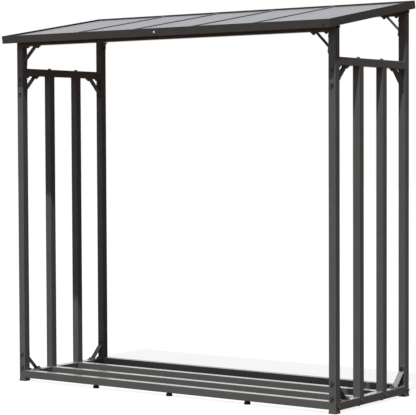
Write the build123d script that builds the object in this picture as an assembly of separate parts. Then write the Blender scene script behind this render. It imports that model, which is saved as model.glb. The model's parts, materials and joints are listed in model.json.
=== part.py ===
import os
from math import cos, radians, sin, tan

from build123d import *

# An open steel log store: a bolted frame of square tube under a single-slope sheet roof.
# Millimetres. X runs along the store, Y from front to back, Z up, ground at zero.

# Frame of square tube
frame_width = 1850.0
frame_depth = 648.0
tube_side = 36.0
tube_wall = 1.0
tube_corner_radius = 1.5
beam_clearance = 17.0
rail_clearance = 13.0
upper_rail_drop = 156.0
slat_names = ["front", "rear"]

# Corner brackets of bent strip
bracket_leg = 97.0
bracket_strip_width = 27.0
bracket_end_radius = 7.0
bracket_thickness = 2.5
bracket_bend_radius = 2.0
bracket_stay_reach = 68.0
bracket_bend_degrees = 45.0

# Feet
cap_height = 11.0
cap_floor = 3.0
cap_wall = 1.5
cap_clearance = 0.2
pad_radius = 15.0
pad_neck_radius = 11.0
pad_rim_height = 7.0
pads_per_beam = 3

# Roof
roof_pitch_degrees = 9.5
eave_height = 1711.0
front_overhang = 88.0
back_overhang = 18.0
side_overhang = 21.0
trim_height = 37.0
trim_sheet = 1.0
trim_bend_radius = 1.0
trim_lip = 8.5
trim_return = 12.0
trim_tab_length = 56.0
trim_joint_offset = 12.0
trim_joint_gap = 1.0
panel_sheet = 0.7
panel_fold_radius = 2.0
panel_depth = 16.0
panel_gap = 1.0
inner_panel_pitch = 340.0
inner_panels = 3
strip_width = 10.0
strip_height = 5.0
strip_sheet = 0.8
strip_bend_radius = 0.6

# Places that follow from the sizes
pitch = radians(roof_pitch_degrees)
half_width = frame_width / 2
post_centre_x = half_width - tube_side / 2
clear_span = frame_width - 2 * tube_side
clear_depth = frame_depth - 2 * tube_side
roof_width = frame_width + 2 * side_overhang
half_roof = roof_width / 2
roof_plan_depth = frame_depth + front_overhang + back_overhang
roof_run = roof_plan_depth / cos(pitch)
roof_front = -(roof_plan_depth + trim_height * sin(pitch)) / 2
frame_front = roof_front + front_overhang
frame_back = frame_front + frame_depth
front_post_y = frame_front + tube_side / 2
back_post_y = frame_back - tube_side / 2
slat_pitch = (back_post_y - front_post_y) / (len(slat_names) + 1)
slat_rows = {name: front_post_y + slat_pitch * (number + 1) for number, name in enumerate(slat_names)}
beam_centre = beam_clearance + tube_side / 2
rail_centre = rail_clearance + tube_side / 2
rail_top = rail_clearance + tube_side
upper_rail_top = eave_height - upper_rail_drop
upper_rail_bottom = upper_rail_top - tube_side


def roof_level(y, depth):
    """Height at y of the plane that lies this deep under the top of the roof's edge trim."""
    return eave_height + (y - roof_front) * tan(pitch) - depth / cos(pitch)


# The panels' flanges stand on the front edge of each top beam
front_top = roof_level(frame_front, trim_lip + panel_depth)
back_top = roof_level(frame_back - tube_side, trim_lip + panel_depth)

x_axis = Vector(1, 0, 0)
y_axis = Vector(0, 1, 0)
z_axis = Vector(0, 0, 1)
sides = {"left": -1, "right": 1}
nodes = {}


def sheet_section(points, sheet, bend_radius):
    """The section of a folded sheet, from the middle line of its flats."""
    return trace(FilletPolyline(*points, radius=bend_radius + sheet / 2), line_width=sheet)


# Square tube members

def square_tube(start, direction, length):
    bore = tube_side - 2 * tube_wall
    section = RectangleRounded(tube_side, tube_side, tube_corner_radius) - Rectangle(bore, bore)
    return extrude(Plane(origin=start, z_dir=direction) * section, amount=length)


def add_posts():
    for side, sign in sides.items():
        x = sign * post_centre_x
        for end, y, top in (("front", front_post_y, front_top), ("back", back_post_y, back_top)):
            nodes[f"{end}_{side}_post"] = square_tube((x, y, cap_floor), z_axis, top - cap_floor)


def add_long_members():
    rows = {
        "front_bottom_beam": (front_post_y, beam_centre),
        **{f"floor_bar_{row}": (y, rail_centre) for row, y in slat_rows.items()},
        "rear_bottom_beam": (back_post_y, beam_centre),
        "front_top_beam": (front_post_y, front_top - tube_side / 2),
        "back_top_beam": (back_post_y, back_top - tube_side / 2),
    }
    for name, (y, z) in rows.items():
        nodes[name] = square_tube((-clear_span / 2, y, z), x_axis, clear_span)


def add_end_frames():
    rail_start = frame_front + tube_side
    for side, sign in sides.items():
        x = sign * post_centre_x
        for level, z in (("bottom", rail_centre), ("upper", upper_rail_top - tube_side / 2)):
            nodes[f"{side}_{level}_rail"] = square_tube((x, rail_start, z), y_axis, clear_depth)
        for row, y in slat_rows.items():
            slat = square_tube((x, y, rail_top), z_axis, upper_rail_bottom - rail_top)
            nodes[f"{side}_{row}_slat"] = slat


# Corner brackets

def corner_bracket(corner, along_rail, along_post):
    """A bent angle in the corner and a bent stay across it, welded where the stay's ends lie on the legs."""
    leg = bracket_leg
    skin = bracket_thickness
    first = skin / 2
    second = first + skin
    turn = bracket_stay_reach + skin * tan(radians(bracket_bend_degrees / 2)) / 2
    angle = sheet_section([(leg, first), (first, first), (first, leg)], skin, bracket_bend_radius)
    stay = sheet_section(
        [(leg, second), (turn, second), (second, turn), (second, leg)], skin, bracket_bend_radius)
    bracket = extrude(angle + stay, amount=bracket_strip_width / 2, both=True)
    ends = bracket.edges().filter_by(Axis.Y).group_by(Axis.X)[-1]
    ends += bracket.edges().filter_by(Axis.X).group_by(Axis.Y)[-1]
    place = Plane(origin=corner, x_dir=along_rail, z_dir=along_rail.cross(along_post))
    return place * fillet(ends, bracket_end_radius)


def add_brackets():
    front_face = frame_front + tube_side
    back_face = frame_back - tube_side
    for side, sign in sides.items():
        inner = sign * clear_span / 2
        for end, y, top in (("front", front_post_y, front_top), ("back", back_post_y, back_top)):
            corner = Vector(inner, y, top - tube_side)
            nodes[f"{end}_{side}_top_bracket"] = corner_bracket(corner, -sign * x_axis, -z_axis)
        x = sign * post_centre_x
        for end, y, along in (("front", front_face, y_axis), ("rear", back_face, -y_axis)):
            upper = Vector(x, y, upper_rail_bottom)
            lower = Vector(x, y, rail_top)
            nodes[f"{side}_{end}_upper_bracket"] = corner_bracket(upper, along, -z_axis)
            nodes[f"{side}_{end}_lower_bracket"] = corner_bracket(lower, along, z_axis)


# Feet

def add_feet():
    bore = tube_side + 2 * cap_clearance
    outer = bore + 2 * cap_wall
    outer_radius = tube_corner_radius + cap_clearance + cap_wall
    cup = extrude(RectangleRounded(outer, outer, outer_radius), amount=cap_height)
    hollow = extrude(Rectangle(bore, bore), amount=cap_height)
    cap = cup - Pos(0, 0, cap_floor) * hollow
    nodes["post_feet"] = [
        Pos(sign * post_centre_x, y, 0) * cap
        for sign in sides.values() for y in (front_post_y, back_post_y)]

    outline = Polyline(
        (0, 0), (pad_radius, 0), (pad_radius, pad_rim_height), (pad_neck_radius, beam_clearance),
        (0, beam_clearance), close=True)
    pad = revolve(Plane.XZ * make_face(outline), Axis.Z)
    pad_pitch = clear_span / (pads_per_beam + 1)
    nodes["beam_feet"] = [
        Pos(-clear_span / 2 + pad_pitch * (number + 1), y, 0) * pad
        for number in range(pads_per_beam) for y in (front_post_y, back_post_y)]


# Roof, drawn flat with its front top edge on the X axis, then tilted into place

roof_place = Pos(0, roof_front, eave_height) * Rot(roof_pitch_degrees, 0, 0)
panel_start = trim_sheet + max(trim_sheet, trim_bend_radius)
panel_run = roof_run - 2 * panel_start


def flat_box(x_low, x_high, run_low, run_high, low, high):
    size = Box(x_high - x_low, run_high - run_low, high - low, align=(Align.MIN, Align.MIN, Align.MIN))
    return Pos(x_low, run_low, low) * size


def roof_panel(x_low, x_high):
    """A tray with its four edges folded down."""
    block = flat_box(
        x_low, x_high, panel_start, panel_start + panel_run, -trim_lip - panel_depth, -trim_lip)
    block = fillet(block.edges().group_by(Axis.Z)[-1], panel_fold_radius)
    return roof_place * offset(block, -panel_sheet, openings=block.faces().sort_by(Axis.Z)[0])


def add_panels():
    names = ["left", "mid_left", "middle", "mid_right", "right"]
    seams = [inner_panel_pitch * (number - inner_panels / 2) for number in range(inner_panels + 1)]
    lows = [-half_roof + trim_sheet] + [seam + panel_gap / 2 for seam in seams]
    highs = [seam - panel_gap / 2 for seam in seams] + [half_roof - trim_sheet]
    for name, low, high in zip(names, lows, highs):
        nodes[f"roof_panel_{name}"] = roof_panel(low, high)

    wall = (strip_width - strip_sheet) / 2
    crown = strip_height - strip_sheet / 2
    section = sheet_section(
        [(-wall, 0), (-wall, crown), (wall, crown), (wall, 0)], strip_sheet, strip_bend_radius)
    channel = extrude(Plane.XZ * section, amount=-panel_run)
    nodes["roof_joint_strips"] = [roof_place * Pos(seam, panel_start, -trim_lip) * channel for seam in seams]


def add_front_and_back_trims():
    """Angle sections with a return along the foot, in two lengths that meet near the middle."""
    middle = trim_sheet + trim_sheet / 2
    foot = trim_sheet / 2 - trim_height
    section = Plane.YZ * sheet_section(
        [(middle, 0), (middle, foot), (trim_return, foot)], trim_sheet, trim_bend_radius)
    outer = half_roof - trim_sheet - trim_bend_radius
    left_end = trim_joint_offset - trim_joint_gap / 2
    right_start = trim_joint_offset + trim_joint_gap / 2
    for half, low, high in (("left", -outer, left_end), ("right", right_start, outer)):
        front = Pos(low, 0, 0) * extrude(section, amount=high - low)
        back = mirror(front, Plane.XZ.offset(-roof_run / 2))
        nodes[f"front_trim_{half}"] = roof_place * front
        nodes[f"back_trim_{half}"] = roof_place * back


def add_side_trims():
    """A web down each slope whose ends fold round the corners as tabs, with a return along the foot."""
    web = trim_sheet
    for side, sign in sides.items():
        edge = sign * half_roof
        inner = edge - sign * web
        tab = edge - sign * trim_tab_length
        middle = edge - sign * web / 2
        plan = sheet_section(
            [(tab, web / 2), (middle, web / 2), (middle, roof_run - web / 2), (tab, roof_run - web / 2)],
            web, trim_bend_radius)
        trim = Pos(0, 0, -trim_height) * extrude(plan, amount=trim_height, dir=(0, 0, 1))
        ends = sorted((inner, edge - sign * trim_return))
        trim += flat_box(
            ends[0], ends[1], trim_return, roof_run - trim_return, -trim_height, web - trim_height)
        nodes[f"{side}_side_trim"] = roof_place * trim


add_posts()
add_long_members()
add_end_frames()
add_brackets()
add_feet()
add_panels()
add_front_and_back_trims()
add_side_trims()

os.makedirs("parts", exist_ok=True)
for name, shape in nodes.items():
    if isinstance(shape, list):
        shape = Compound(children=shape)
    export_step(shape, f"parts/{name}.step")
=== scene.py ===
import json
import math

import bpy
from mathutils import Matrix, Vector


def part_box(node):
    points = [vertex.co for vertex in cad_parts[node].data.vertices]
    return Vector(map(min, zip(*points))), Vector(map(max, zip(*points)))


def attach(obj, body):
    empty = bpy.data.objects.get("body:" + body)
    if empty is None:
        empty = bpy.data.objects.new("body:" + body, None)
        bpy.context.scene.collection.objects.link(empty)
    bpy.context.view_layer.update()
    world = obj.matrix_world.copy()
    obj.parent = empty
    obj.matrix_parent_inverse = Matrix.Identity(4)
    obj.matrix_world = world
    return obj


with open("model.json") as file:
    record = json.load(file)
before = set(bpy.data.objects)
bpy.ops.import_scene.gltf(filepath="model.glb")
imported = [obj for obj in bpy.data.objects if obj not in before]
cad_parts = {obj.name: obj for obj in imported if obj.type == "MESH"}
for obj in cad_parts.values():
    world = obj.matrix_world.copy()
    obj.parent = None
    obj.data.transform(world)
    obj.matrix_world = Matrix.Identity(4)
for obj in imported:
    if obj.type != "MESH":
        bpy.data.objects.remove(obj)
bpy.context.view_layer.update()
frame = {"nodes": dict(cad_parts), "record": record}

nodes = frame["nodes"]
mm = 0.001
print("log store frame loaded:", len(nodes), "nodes")


# shader helpers

def link(tree, source, target):
    tree.links.new(source, target)


def feed(tree, value, socket):  # a plain value is set, another node's output is linked
    if isinstance(value, (tuple, int, float)):
        socket.default_value = value
    else:
        link(tree, value, socket)


def mathNode(tree, operation, first, second):
    node = tree.nodes.new("ShaderNodeMath")
    node.operation = operation
    feed(tree, first, node.inputs[0])
    feed(tree, second, node.inputs[1])
    return node.outputs["Value"]


mixSockets = {"factor": 0, "first": 6, "second": 7, "result": 2}  # on a Mix node set to colour


def mixColor(tree, factor, first, second):
    node = tree.nodes.new("ShaderNodeMix")
    node.data_type = "RGBA"
    feed(tree, factor, node.inputs[mixSockets["factor"]])
    feed(tree, first, node.inputs[mixSockets["first"]])
    feed(tree, second, node.inputs[mixSockets["second"]])
    return node.outputs[mixSockets["result"]]


def mixShader(tree, factor, first, second):
    node = tree.nodes.new("ShaderNodeMixShader")
    for value, socket in zip((factor, first, second), node.inputs):
        feed(tree, value, socket)
    return node.outputs["Shader"]


def noiseNode(tree, scale, detail, roughness=0.5):
    coords = tree.nodes.new("ShaderNodeTexCoord")
    noise = tree.nodes.new("ShaderNodeTexNoise")
    link(tree, coords.outputs["Object"], noise.inputs["Vector"])
    for label, value in (("Scale", scale), ("Detail", detail), ("Roughness", roughness)):
        feed(tree, value, noise.inputs[label])
    return noise.outputs["Fac"]


def newMaterial(name):
    material = bpy.data.materials.new(name)
    material.use_nodes = True
    return material, material.node_tree


# shader groups, with the values they start from and the kind of each output

def makeGroup(name, inputs, outputs):
    group = bpy.data.node_groups.new(name, "ShaderNodeTree")
    for label, value in inputs.items():
        kind = "NodeSocketColor" if isinstance(value, tuple) else "NodeSocketFloat"
        socket = group.interface.new_socket(label, in_out="INPUT", socket_type=kind)
        socket.default_value = value
    for label, kind in outputs.items():
        group.interface.new_socket(label, in_out="OUTPUT", socket_type="NodeSocket" + kind)
    entry = group.nodes.new("NodeGroupInput")
    out = group.nodes.new("NodeGroupOutput")
    return group, entry.outputs, out.inputs


def patchyMask(group, strength, entry, detail, roughness):
    patches = noiseNode(group, entry["Patch Scale"], detail, roughness)
    broken = mathNode(group, "MULTIPLY", strength, patches)
    return mathNode(group, "MULTIPLY", broken, entry["Amount"])


# powder coat: soft clouding of the colour, an orange-peel skin and patches that shine more
def makeCoatGroup():
    group, entry, out = makeGroup(
        "powderCoat",
        {"Color": (0.05, 0.05, 0.05, 1), "Light Color": (0.07, 0.07, 0.07, 1),
         "Cloud Scale": 7.0, "Peel Scale": 700.0, "Roughness Low": 0.3, "Roughness High": 0.42},
        {"Color": "Color", "Roughness": "Float", "Peel": "Float"})
    cloud = noiseNode(group, entry["Cloud Scale"], detail=4.0, roughness=0.6)
    peel = noiseNode(group, entry["Peel Scale"], detail=1.0)
    span = mathNode(group, "SUBTRACT", entry["Roughness High"], entry["Roughness Low"])
    added = mathNode(group, "MULTIPLY", span, cloud)
    link(group, mixColor(group, cloud, entry["Color"], entry["Light Color"]), out["Color"])
    link(group, mathNode(group, "ADD", entry["Roughness Low"], added), out["Roughness"])
    link(group, peel, out["Peel"])
    return group


edgeFinder = {"samples": 4, "gain": 6.0}  # gain: how soon a turned normal counts as an edge


# where folds and tube corners are worn and carry a painted highlight along them, found from the
# rounded normal
def makeEdgeWearAndGlintGroup():
    group, entry, out = makeGroup(
        "edgeWearAndGlint", {"Reach": 0.002, "Amount": 0.3, "Patch Scale": 30.0}, {"Mask": "Float"})
    bevel = group.nodes.new("ShaderNodeBevel")
    bevel.samples = edgeFinder["samples"]
    link(group, entry["Reach"], bevel.inputs["Radius"])
    geometry = group.nodes.new("ShaderNodeNewGeometry")
    dot = group.nodes.new("ShaderNodeVectorMath")
    dot.operation = "DOT_PRODUCT"
    link(group, bevel.outputs["Normal"], dot.inputs[0])
    link(group, geometry.outputs["True Normal"], dot.inputs[1])
    turn = mathNode(group, "SUBTRACT", 1.0, dot.outputs["Value"])
    raised = mathNode(group, "MULTIPLY", turn, edgeFinder["gain"])
    sharp = mathNode(group, "MINIMUM", raised, 1.0)
    link(group, patchyMask(group, sharp, entry, detail=3.0, roughness=0.65), out["Mask"])
    return group


# pale dust and a painted sky sheen on what faces up, and how far up it faces
def makeDustAndSheenGroup():
    group, entry, out = makeGroup(
        "settledDustAndSkySheen", {"Amount": 0.2, "Patch Scale": 12.0}, {"Mask": "Float", "Upward": "Float"})
    geometry = group.nodes.new("ShaderNodeNewGeometry")
    split = group.nodes.new("ShaderNodeSeparateXYZ")
    link(group, geometry.outputs["Normal"], split.inputs["Vector"])
    upward = mathNode(group, "MAXIMUM", split.outputs["Z"], 0.0)
    link(group, upward, out["Upward"])
    link(group, patchyMask(group, upward, entry, detail=5.0, roughness=0.7), out["Mask"])
    return group


coatGroup = makeCoatGroup()
edgeWearAndGlintGroup = makeEdgeWearAndGlintGroup()
dustAndSheenGroup = makeDustAndSheenGroup()


# finishes

def placeGroup(tree, group, values):
    node = tree.nodes.new("ShaderNodeGroup")
    node.node_tree = group
    for label, value in values.items():
        node.inputs[label].default_value = value
    return node.outputs


def coatedMetal(name, look):
    material, tree = newMaterial(name)
    shader = tree.nodes["Principled BSDF"].inputs
    shader["Specular IOR Level"].default_value = look["specular"]
    coat = placeGroup(tree, coatGroup, {
        "Color": (*look["color"], 1), "Light Color": (*look["lightColor"], 1),
        "Cloud Scale": look["cloudScale"], "Peel Scale": look["peelScale"],
        "Roughness Low": look["roughness"][0], "Roughness High": look["roughness"][1]})
    edge = placeGroup(tree, edgeWearAndGlintGroup, {"Reach": look["edgeReach"], "Amount": look["edgeWearAndGlint"]})
    dustAndSheen = placeGroup(tree, dustAndSheenGroup, {"Amount": look["dustAndSheen"], "Patch Scale": look["dustAndSheenScale"]})
    # painted highlight: edges are lightened, partly as rub wear and partly as a painted glint
    rubbedAndGlinting = mixColor(tree, edge["Mask"], coat["Color"], (*look["edgeWearAndGlintColor"], 1))
    # painted reflection: upward faces are lightened, partly as dust and partly as a painted sky
    # sheen
    dustedAndSheened = mixColor(tree, dustAndSheen["Mask"], rubbedAndGlinting, (*look["dustAndSheenColor"], 1))
    link(tree, dustedAndSheened, shader["Base Color"])
    link(tree, coat["Roughness"], shader["Roughness"])
    if "topGloss" in look:  # flat tops mirror the sky at a low angle
        gloss = mathNode(tree, "MULTIPLY", dustAndSheen["Upward"], look["topGloss"])
        link(tree, gloss, shader["Coat Weight"])
        shader["Coat Roughness"].default_value = look["topRoughness"]
    bump = tree.nodes.new("ShaderNodeBump")
    bump.inputs["Strength"].default_value = look["peelStrength"]
    bump.inputs["Distance"].default_value = look["peelDepth"]
    link(tree, coat["Peel"], bump.inputs["Height"])
    link(tree, bump.outputs["Normal"], shader["Normal"])
    return material


# the brackets' up-facing stays take a stronger, bluish painted sky sheen over their dust than the
# tubes
bracketLook = {
    "color": (0.072, 0.072, 0.0705), "lightColor": (0.0935, 0.0935, 0.091), "cloudScale": 9.0,
    "roughness": (0.13, 0.22), "specular": 0.02,
    "peelScale": 800.0, "peelStrength": 0.1, "peelDepth": 0.0004,
    "edgeReach": 0.0022, "edgeWearAndGlint": 0.3, "edgeWearAndGlintColor": (0.2, 0.2, 0.19),
    "dustAndSheen": 0.85, "dustAndSheenScale": 14.0, "dustAndSheenColor": (0.405, 0.41, 0.42)}
tubeLook = {
    **bracketLook, "dustAndSheen": 0.6, "dustAndSheenColor": (0.42, 0.41, 0.39),
    "topGloss": 1.0, "topRoughness": 0.4}
roofLook = {
    "color": (0.092, 0.093, 0.103), "lightColor": (0.119, 0.121, 0.132), "cloudScale": 5.0,
    "roughness": (0.36, 0.48), "specular": 0.2,
    "peelScale": 500.0, "peelStrength": 0.1, "peelDepth": 0.0005,
    "edgeReach": 0.0012, "edgeWearAndGlint": 0.2, "edgeWearAndGlintColor": (0.2, 0.2, 0.2),
    "dustAndSheen": 0.2, "dustAndSheenScale": 6.0, "dustAndSheenColor": (0.38, 0.37, 0.38)}
trimLook = {
    "color": (0.05, 0.05, 0.048), "lightColor": (0.064, 0.064, 0.062), "cloudScale": 8.0,
    "roughness": (0.2, 0.3), "specular": 0.02,
    "peelScale": 800.0, "peelStrength": 0.1, "peelDepth": 0.0004,
    "edgeReach": 0.0012, "edgeWearAndGlint": 0.3, "edgeWearAndGlintColor": (0.2, 0.2, 0.19),
    "dustAndSheen": 0.12, "dustAndSheenScale": 10.0, "dustAndSheenColor": (0.36, 0.35, 0.33)}
footLook = {
    "color": (0.06, 0.059, 0.054), "lightColor": (0.08, 0.078, 0.072), "cloudScale": 40.0,
    "roughness": (0.5, 0.62), "specular": 0.2,
    "peelScale": 1600.0, "peelStrength": 0.2, "peelDepth": 0.0003,
    "edgeReach": 0.001, "edgeWearAndGlint": 0.35, "edgeWearAndGlintColor": (0.14, 0.14, 0.13),
    "dustAndSheen": 0.2, "dustAndSheenScale": 60.0, "dustAndSheenColor": (0.3, 0.28, 0.25)}
# painted shade: the caps' plastic darkened to near black for the shade under the beams
shadedPadLook = {
    **footLook, "color": (0.012, 0.012, 0.011), "lightColor": (0.02, 0.02, 0.018),
    "specular": 0.05, "edgeWearAndGlintColor": (0.04, 0.04, 0.038), "dustAndSheen": 0.05}
# the pale edges on the black heads are mostly a painted highlight, with a little rub
boltLook = {
    "color": (0.02, 0.02, 0.022), "lightColor": (0.034, 0.034, 0.036), "cloudScale": 90.0,
    "roughness": (0.2, 0.32), "specular": 0.2,
    "peelScale": 2500.0, "peelStrength": 0.08, "peelDepth": 0.0001,
    "edgeReach": 0.0006, "edgeWearAndGlint": 0.6, "edgeWearAndGlintColor": (0.3, 0.3, 0.3),
    "dustAndSheen": 0.1, "dustAndSheenScale": 60.0, "dustAndSheenColor": (0.32, 0.31, 0.29)}

tubeSteel = coatedMetal("tubeSteel", tubeLook)
bracketSteel = coatedMetal("bracketSteel", bracketLook)
roofSheet = coatedMetal("roofSheet", roofLook)
roofTrim = coatedMetal("roofTrim", trimLook)
footPlastic = coatedMetal("footPlastic", footLook)
shadedPadPlastic = coatedMetal("shadedPadPlastic", shadedPadLook)
boltBlack = coatedMetal("boltBlack", boltLook)


zincLook = {"color": (0.62, 0.61, 0.58, 1), "dullColor": (0.42, 0.41, 0.39, 1),
            "cloudScale": 240.0, "metallic": 0.9, "roughest": 0.5}


def makeZinc():
    material, tree = newMaterial("zincScrew")
    shader = tree.nodes["Principled BSDF"].inputs
    shader["Metallic"].default_value = zincLook["metallic"]
    cloud = noiseNode(tree, zincLook["cloudScale"], detail=3.0)
    color = mixColor(tree, cloud, zincLook["color"], zincLook["dullColor"])
    link(tree, color, shader["Base Color"])
    link(tree, mathNode(tree, "MULTIPLY", cloud, zincLook["roughest"]), shader["Roughness"])
    return material


zincScrew = makeZinc()
slotMaterials = {"frame_steel": tubeSteel, "roof_sheet": roofSheet,
                 "roof_trim": roofTrim, "foot_plastic": footPlastic}
ownMaterials = {node: bracketSteel for node in nodes if node.endswith("_bracket")}
ownMaterials["beam_feet"] = shadedPadPlastic  # painted shade: blacker than the same plastic on the caps under the posts
for part in frame["record"]["subparts"]:
    mesh = nodes[part["node"]].data
    mesh.materials.clear()
    mesh.materials.append(ownMaterials.get(part["node"], slotMaterials[part["material_slot"]]))
print("finishes placed on the CAD nodes")


# fasteners: a Geometry Nodes tree turns points, each with the way it faces, into bolts

boltInputs = {"Head Radius": 6.0 * mm, "Head Height": 4.0 * mm, "Washer Radius": 7.0 * mm,
              "Washer Height": 1.0 * mm, "Stub Radius": 3.0 * mm, "Stub Height": 4.0 * mm}
boltShape = {"washerSides": 20, "stubSides": 14, "socketSides": 6,
             "socketSunk": 0.6, "rollSeed": 7}  # sunk: share of the socket's height in the head


def makeBoltTree(name, style):
    tree = bpy.data.node_groups.new(name, "GeometryNodeTree")
    sockets = tree.interface
    sockets.new_socket("Geometry", in_out="INPUT", socket_type="NodeSocketGeometry")
    for label, value in boltInputs.items():
        socket = sockets.new_socket(label, in_out="INPUT", socket_type="NodeSocketFloat")
        socket.default_value = value
    sockets.new_socket("Finish", in_out="INPUT", socket_type="NodeSocketMaterial")
    sockets.new_socket("Geometry", in_out="OUTPUT", socket_type="NodeSocketGeometry")
    entry = tree.nodes.new("NodeGroupInput").outputs
    out = tree.nodes.new("NodeGroupOutput").inputs

    def cylinder(piece, base, sides, rings=1):
        shape = tree.nodes.new("GeometryNodeMeshCylinder")
        shape.inputs["Vertices"].default_value = sides
        shape.inputs["Side Segments"].default_value = rings
        height = entry[piece + " Height"]
        link(tree, entry[piece + " Radius"], shape.inputs["Radius"])
        link(tree, height, shape.inputs["Depth"])
        lift = tree.nodes.new("GeometryNodeTransform")
        offset = tree.nodes.new("ShaderNodeCombineXYZ")
        half = mathNode(tree, "MULTIPLY", height, 0.5)
        link(tree, mathNode(tree, "ADD", half, base), offset.inputs["Z"])
        link(tree, shape.outputs["Mesh"], lift.inputs["Geometry"])
        link(tree, offset.outputs["Vector"], lift.inputs["Translation"])
        return lift.outputs["Geometry"]

    washer = cylinder("Washer", 0.0, boltShape["washerSides"])
    head = cylinder("Head", entry["Washer Height"], style["sides"], style["rings"])
    place = tree.nodes.new("GeometryNodeInputPosition")
    split = tree.nodes.new("ShaderNodeSeparateXYZ")
    link(tree, place.outputs["Position"], split.inputs["Vector"])
    # the upper rings are pulled in, for a chamfer or a dome
    rise = mathNode(tree, "SUBTRACT", split.outputs["Z"], entry["Washer Height"])
    share = mathNode(tree, "DIVIDE", rise, entry["Head Height"])
    curve = mathNode(tree, "POWER", mathNode(tree, "MAXIMUM", share, 0.0), style["power"])
    width = mathNode(tree, "SUBTRACT", 1.0, mathNode(tree, "MULTIPLY", curve, style["pull"]))
    scaled = tree.nodes.new("ShaderNodeCombineXYZ")
    link(tree, mathNode(tree, "MULTIPLY", split.outputs["X"], width), scaled.inputs["X"])
    link(tree, mathNode(tree, "MULTIPLY", split.outputs["Y"], width), scaled.inputs["Y"])
    link(tree, split.outputs["Z"], scaled.inputs["Z"])
    move = tree.nodes.new("GeometryNodeSetPosition")
    link(tree, head, move.inputs["Geometry"])
    link(tree, scaled.outputs["Vector"], move.inputs["Position"])
    pieces = [washer, move.outputs["Geometry"]]
    crown = mathNode(tree, "ADD", entry["Washer Height"], entry["Head Height"])
    if style["end"] == "stub":  # the bolt's end stands out of its nut
        pieces.append(cylinder("Stub", crown, boltShape["stubSides"]))
    if style["end"] == "socket":  # a hexagon is sunk into the head
        sunk = mathNode(tree, "MULTIPLY", entry["Stub Height"], boltShape["socketSunk"])
        bottom = mathNode(tree, "SUBTRACT", crown, sunk)
        cut = tree.nodes.new("GeometryNodeMeshBoolean")
        cut.operation = "DIFFERENCE"
        link(tree, pieces[1], cut.inputs["Mesh 1"])
        link(tree, cylinder("Stub", bottom, boltShape["socketSides"]), cut.inputs["Mesh 2"])
        pieces[1] = cut.outputs["Mesh"]

    join = tree.nodes.new("GeometryNodeJoinGeometry")
    for piece in pieces:
        link(tree, piece, join.inputs["Geometry"])
    facing = tree.nodes.new("GeometryNodeInputNamedAttribute")
    facing.data_type = "FLOAT_VECTOR"
    facing.inputs["Name"].default_value = "facing"
    turn = tree.nodes.new("FunctionNodeAlignRotationToVector")
    turn.axis = "Z"
    link(tree, facing.outputs["Attribute"], turn.inputs["Vector"])
    roll = tree.nodes.new("FunctionNodeRandomValue")  # each bolt was tightened to its own angle
    roll.data_type = "FLOAT"
    roll.inputs["Min"].default_value = 0.0
    roll.inputs["Max"].default_value = math.tau
    roll.inputs["Seed"].default_value = boltShape["rollSeed"]
    spin = tree.nodes.new("FunctionNodeAxisAngleToRotation")
    link(tree, roll.outputs["Value"], spin.inputs["Angle"])
    both = tree.nodes.new("FunctionNodeRotateRotation")
    both.rotation_space = "LOCAL"
    link(tree, turn.outputs["Rotation"], both.inputs["Rotation"])
    link(tree, spin.outputs["Rotation"], both.inputs["Rotate By"])
    instance = tree.nodes.new("GeometryNodeInstanceOnPoints")
    link(tree, entry["Geometry"], instance.inputs["Points"])
    link(tree, join.outputs["Geometry"], instance.inputs["Instance"])
    link(tree, both.outputs["Rotation"], instance.inputs["Rotation"])
    realize = tree.nodes.new("GeometryNodeRealizeInstances")
    link(tree, instance.outputs["Instances"], realize.inputs["Geometry"])
    paint = tree.nodes.new("GeometryNodeSetMaterial")
    link(tree, realize.outputs["Geometry"], paint.inputs["Geometry"])
    link(tree, entry["Finish"], paint.inputs["Material"])
    link(tree, paint.outputs["Geometry"], out["Geometry"])
    return tree


hexStyle = {"sides": 6, "rings": 5, "pull": 0.12, "power": 12.0, "end": "plain"}
panStyle = {"sides": 20, "rings": 6, "pull": 0.5, "power": 2.4, "end": "socket"}
boltTree = makeBoltTree("hexBolt", hexStyle)
nutTree = makeBoltTree("hexNut", {**hexStyle, "end": "stub"})
screwTree = makeBoltTree("panHeadScrew", panStyle)


def makeFasteners(name, tree, sizes, finish, spots):
    mesh = bpy.data.meshes.new(name + "Points")
    mesh.from_pydata([spot for spot, way in spots], [], [])
    facing = mesh.attributes.new("facing", "FLOAT_VECTOR", "POINT")
    facing.data.foreach_set("vector", [value for spot, way in spots for value in way])
    source = bpy.data.objects.new(name + "Points", mesh)
    bpy.context.scene.collection.objects.link(source)
    modifier = source.modifiers.new("fasteners", "NODES")
    modifier.node_group = tree
    values = {**sizes, "Finish": finish}
    for item in tree.interface.items_tree:
        if item.in_out == "INPUT" and item.name in values:
            modifier[item.identifier] = values[item.name]
    graph = bpy.context.evaluated_depsgraph_get()
    solid = bpy.data.meshes.new_from_object(source.evaluated_get(graph), depsgraph=graph)
    bpy.data.objects.remove(source)
    piece = bpy.data.objects.new(name, solid)
    bpy.context.scene.collection.objects.link(piece)
    solid.name = name
    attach(piece, "root")
    print("fasteners", name, len(spots), "with", len(solid.polygons), "faces")


def middle(node):
    low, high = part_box(node)
    return (low + high) / 2


boltSizes = {"Head Radius": 8.0 * mm, "Head Height": 4.6 * mm,
             "Washer Radius": 9.8 * mm, "Washer Height": 1.5 * mm}
longHeadSizes = {**boltSizes, "Head Height": 8.5 * mm}
nutSizes = {**boltSizes, "Head Height": 5.0 * mm, "Stub Radius": 3.9 * mm, "Stub Height": 1.6 * mm}
bracketBolts = {"near": 21.0 * mm, "far": 86.0 * mm, "skin": 2.5 * mm}  # from the bracket's corner
storeEnds = (("left", -1), ("right", 1))


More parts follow.
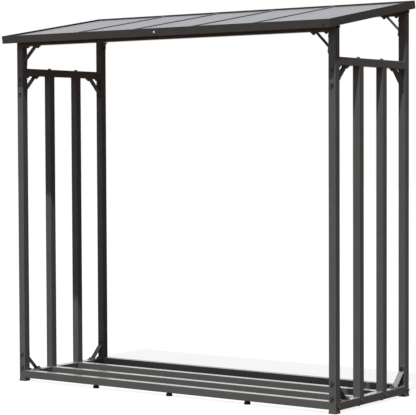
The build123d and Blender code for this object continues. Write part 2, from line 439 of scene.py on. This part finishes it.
def beamBolts():
    spots = []
    for side, sign in storeEnds:
        railZ = middle(f"{side}_bottom_rail").z  # the bottom bolts sit level with the end's rail
        for post, bottom, top in (("front", "front_bottom_beam", "front_top_beam"),
                                  ("back", "rear_bottom_beam", "back_top_beam")):
            low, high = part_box(f"{post}_{side}_post")
            face = low.x if sign < 0 else high.x
            for beam, z in ((bottom, railZ), (top, middle(top).z)):
                spots.append(((face, middle(beam).y, z), (sign, 0, 0)))
    return spots


def railBolts():
    spots = []
    for side, sign in storeEnds:
        for end in ("front", "rear"):
            slat = middle(f"{side}_{end}_slat")
            lowRail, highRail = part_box(f"{side}_bottom_rail")
            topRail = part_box(f"{side}_upper_rail")[1]
            face = lowRail.x if sign < 0 else highRail.x
            spots.append(((face, slat.y, (lowRail.z + highRail.z) / 2), (sign, 0, 0)))
            spots.append(((slat.x, slat.y, topRail.z), (0, 0, 1)))
            spots.append(((slat.x, slat.y, lowRail.z), (0, 0, -1)))
    return spots


def postBolts():
    spots = []
    for side in ("left", "right"):
        for end, post, way in (("front", "front", -1), ("rear", "back", 1)):
            low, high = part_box(f"{post}_{side}_post")
            face = low.y if way < 0 else high.y
            x = (low.x + high.x) / 2
            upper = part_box(f"{side}_{end}_upper_bracket")[1].z
            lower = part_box(f"{side}_{end}_lower_bracket")[0].z
            for reach in (bracketBolts["near"], bracketBolts["far"]):
                spots.append(((x, face, upper - reach), (0, way, 0)))
                spots.append(((x, face, lower + reach), (0, way, 0)))
    return spots


def bracketNuts():
    spots = []
    for node in nodes:
        if not node.endswith("_bracket"):
            continue
        low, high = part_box(node)
        center = (low + high) / 2
        flat = 1 if node.endswith("_top_bracket") else 0  # top brackets are thin in Y, others in X
        along = 1 - flat
        outward = (center[along] > 0) if flat else ("rear" in node)
        corner = high[along] if outward else low[along]
        step = -1 if outward else 1
        down = "lower" not in node
        railZ = high.z if down else low.z
        rise = -1 if down else 1
        for reach, layers in ((bracketBolts["near"], 1), (bracketBolts["far"], 2)):
            skin = bracketBolts["skin"] * layers  # at the far bolt the stay lies on the leg
            onRail = [0, 0, railZ + rise * skin]
            onRail[along] = corner + step * reach
            onRail[flat] = center[flat]
            spots.append((tuple(onRail), (0, 0, rise)))
            onPost = [0, 0, railZ + rise * reach]
            onPost[along] = corner + step * skin
            onPost[flat] = center[flat]
            way = [0, 0, 0]
            way[along] = step
            spots.append((tuple(onPost), tuple(way)))
    return spots


makeFasteners("beamBolts", boltTree, longHeadSizes, boltBlack, beamBolts())
makeFasteners("railBolts", boltTree, boltSizes, boltBlack, railBolts())
makeFasteners("postBolts", boltTree, boltSizes, boltBlack, postBolts())
makeFasteners("bracketNuts", nutTree, nutSizes, boltBlack, bracketNuts())


screwSizes = {"Head Radius": 4.6 * mm, "Head Height": 2.6 * mm, "Washer Radius": 5.6 * mm,
              "Washer Height": 0.7 * mm, "Stub Radius": 1.7 * mm, "Stub Height": 2.4 * mm}
trimScrews = {"drop": 0.5, "tabMiddle": 28.0 * mm, "trimSheet": 1.0 * mm}  # drop: share of height


def roofAxes():
    frontLow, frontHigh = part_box("front_top_beam")
    backLow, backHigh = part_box("back_top_beam")
    slope = math.atan2(backHigh.z - frontHigh.z, backLow.y - frontLow.y)
    along = Vector((0, math.cos(slope), math.sin(slope)))
    upward = Vector((0, -math.sin(slope), math.cos(slope)))
    return along, upward


# the side trim's box gives its height and run on the slope, and so the line its screws are on
def trimScrewSpots():
    along, upward = roofAxes()
    low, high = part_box("right_side_trim")
    rise, depth = high.z - low.z, high.y - low.y
    turned = along.y ** 2 - along.z ** 2
    height = (rise * along.y - depth * along.z) / turned
    run = (depth * along.y - rise * along.z) / turned
    topEdge = Vector((0, low.y, low.z + height * along.y))
    line = topEdge - upward * height * trimScrews["drop"]
    sheet = trimScrews["trimSheet"]
    middleSpots, edgeSpots = [], []
    for start, way, skin in ((0.0, -along, sheet), (run, along, -sheet)):
        middleSpots.append((line + along * (start + skin), way))
        for sign in (-1, 1):
            tab = Vector((sign * (high.x - trimScrews["tabMiddle"]), 0, 0))
            edgeSpots.append((line + along * start + tab, way))
    for sign in (-1, 1):
        for post in ("front_right_post", "back_right_post"):
            reach = (middle(post).y - line.y) / along.y
            spot = line + along * reach + Vector((sign * high.x, 0, 0))
            edgeSpots.append((spot, Vector((sign, 0, 0))))
    return middleSpots, edgeSpots


middleSpots, edgeSpots = trimScrewSpots()
makeFasteners("trimMiddleScrews", screwTree, screwSizes, zincScrew, middleSpots)
makeFasteners("trimEdgeScrews", screwTree, screwSizes, boltBlack, edgeSpots)


# stage: pale floor, sun, two soft lamps and a faint sky

stage = {"floorSize": 60.0, "floorColor": (0.17, 0.095, 0.058, 1),
         "shadowShare": 0.12, "shadowColor": (0.75, 0.75, 0.75, 1),
         "backdropColor": (1, 1, 1, 1), "backdropStrength": 1.0,
         "skyColor": (0.45, 0.66, 1.0, 1), "skyStrength": 0.08}
sunLamp = {"strength": 5.5, "angle": 0.9, "from": (0.145, -0.378, 1.0),
           "color": (1.0, 0.985, 0.95), "shine": True}
fillLamp = {"strength": 1.35, "angle": 60.0, "from": (0.1, -1.0, 0.4),
            "color": (0.74, 0.86, 1.0), "shine": False}
backLamp = {"strength": 2.1, "angle": 90.0, "from": (-0.6, 1.0, 0.5),
            "color": (0.92, 0.96, 1.0), "shine": False}


def seenByCamera(tree):  # also by way of a mirror or glass
    path = tree.nodes.new("ShaderNodeLightPath").outputs
    bounced = mathNode(tree, "MAXIMUM", path["Is Glossy Ray"], path["Is Transmission Ray"])
    return mathNode(tree, "MAXIMUM", path["Is Camera Ray"], bounced)


# the camera sees white with a faint shadow, while the floor's own colour lights the store
def makeFloor():
    mesh = bpy.data.meshes.new("floor")
    half = stage["floorSize"] / 2
    corners = [(-half, -half, 0), (half, -half, 0), (half, half, 0), (-half, half, 0)]
    mesh.from_pydata(corners, [], [(0, 1, 2, 3)])
    floor = bpy.data.objects.new("floor", mesh)
    bpy.context.scene.collection.objects.link(floor)
    material, tree = newMaterial("paleFloor")
    tree.nodes.remove(tree.nodes["Principled BSDF"])
    lighting = tree.nodes.new("ShaderNodeBsdfDiffuse")
    lighting.inputs["Color"].default_value = stage["floorColor"]
    shadowed = tree.nodes.new("ShaderNodeBsdfDiffuse")
    shadowed.inputs["Color"].default_value = stage["shadowColor"]
    white = tree.nodes.new("ShaderNodeEmission")
    pale = mixShader(
        tree, stage["shadowShare"], white.outputs["Emission"], shadowed.outputs["BSDF"])
    surface = mixShader(tree, seenByCamera(tree), lighting.outputs["BSDF"], pale)
    link(tree, surface, tree.nodes["Material Output"].inputs["Surface"])
    mesh.materials.append(material)


def makeSky():
    world = bpy.data.worlds.new("sky")
    bpy.context.scene.world = world
    world.use_nodes = True
    tree = world.node_tree
    white = tree.nodes["Background"]
    white.inputs["Color"].default_value = stage["backdropColor"]
    white.inputs["Strength"].default_value = stage["backdropStrength"]
    sky = tree.nodes.new("ShaderNodeBackground")
    sky.inputs["Color"].default_value = stage["skyColor"]
    sky.inputs["Strength"].default_value = stage["skyStrength"]
    surface = mixShader(
        tree, seenByCamera(tree), sky.outputs["Background"], white.outputs["Background"])
    link(tree, surface, tree.nodes["World Output"].inputs["Surface"])


def makeLamp(name, lamp):
    light = bpy.data.lights.new(name, "SUN")
    light.energy = lamp["strength"]
    light.angle = math.radians(lamp["angle"])
    light.color = lamp["color"]
    holder = bpy.data.objects.new(name, light)
    holder.visible_glossy = lamp["shine"]
    holder.rotation_mode = "QUATERNION"
    holder.rotation_quaternion = Vector(lamp["from"]).to_track_quat("Z", "Y")
    bpy.context.scene.collection.objects.link(holder)


makeFloor()
makeSky()
makeLamp("sun", sunLamp)
makeLamp("fill", fillLamp)
makeLamp("back", backLamp)
print("stage lit")


# camera at the photograph's angle; turns in degrees, lens and sensor in millimetres
cameraView = {"place": (4.766, -6.5198, 1.1909), "yaw": 35.995, "pitch": -2.251, "roll": -0.2449,
              "lens": 145.87, "sensor": 36.0, "farClip": 200.0}


def makeCamera():
    yaw, pitch, roll = (math.radians(cameraView[key]) for key in ("yaw", "pitch", "roll"))
    level = math.cos(pitch)
    ahead = Vector((-math.sin(yaw) * level, math.cos(yaw) * level, math.sin(pitch)))
    right = Vector((math.cos(yaw), math.sin(yaw), 0))
    up = right.cross(ahead)
    sideways = math.cos(roll) * right + math.sin(roll) * up
    upright = -math.sin(roll) * right + math.cos(roll) * up
    lens = bpy.data.cameras.new("camera")
    lens.lens = cameraView["lens"]
    lens.sensor_width = cameraView["sensor"]
    lens.clip_end = cameraView["farClip"]
    camera = bpy.data.objects.new("camera", lens)
    turn = Matrix((sideways, upright, -ahead)).transposed()
    camera.matrix_world = Matrix.Translation(cameraView["place"]) @ turn.to_4x4()
    bpy.context.scene.collection.objects.link(camera)
    bpy.context.scene.camera = camera


makeCamera()
bpy.context.scene.view_settings.view_transform = "Standard"
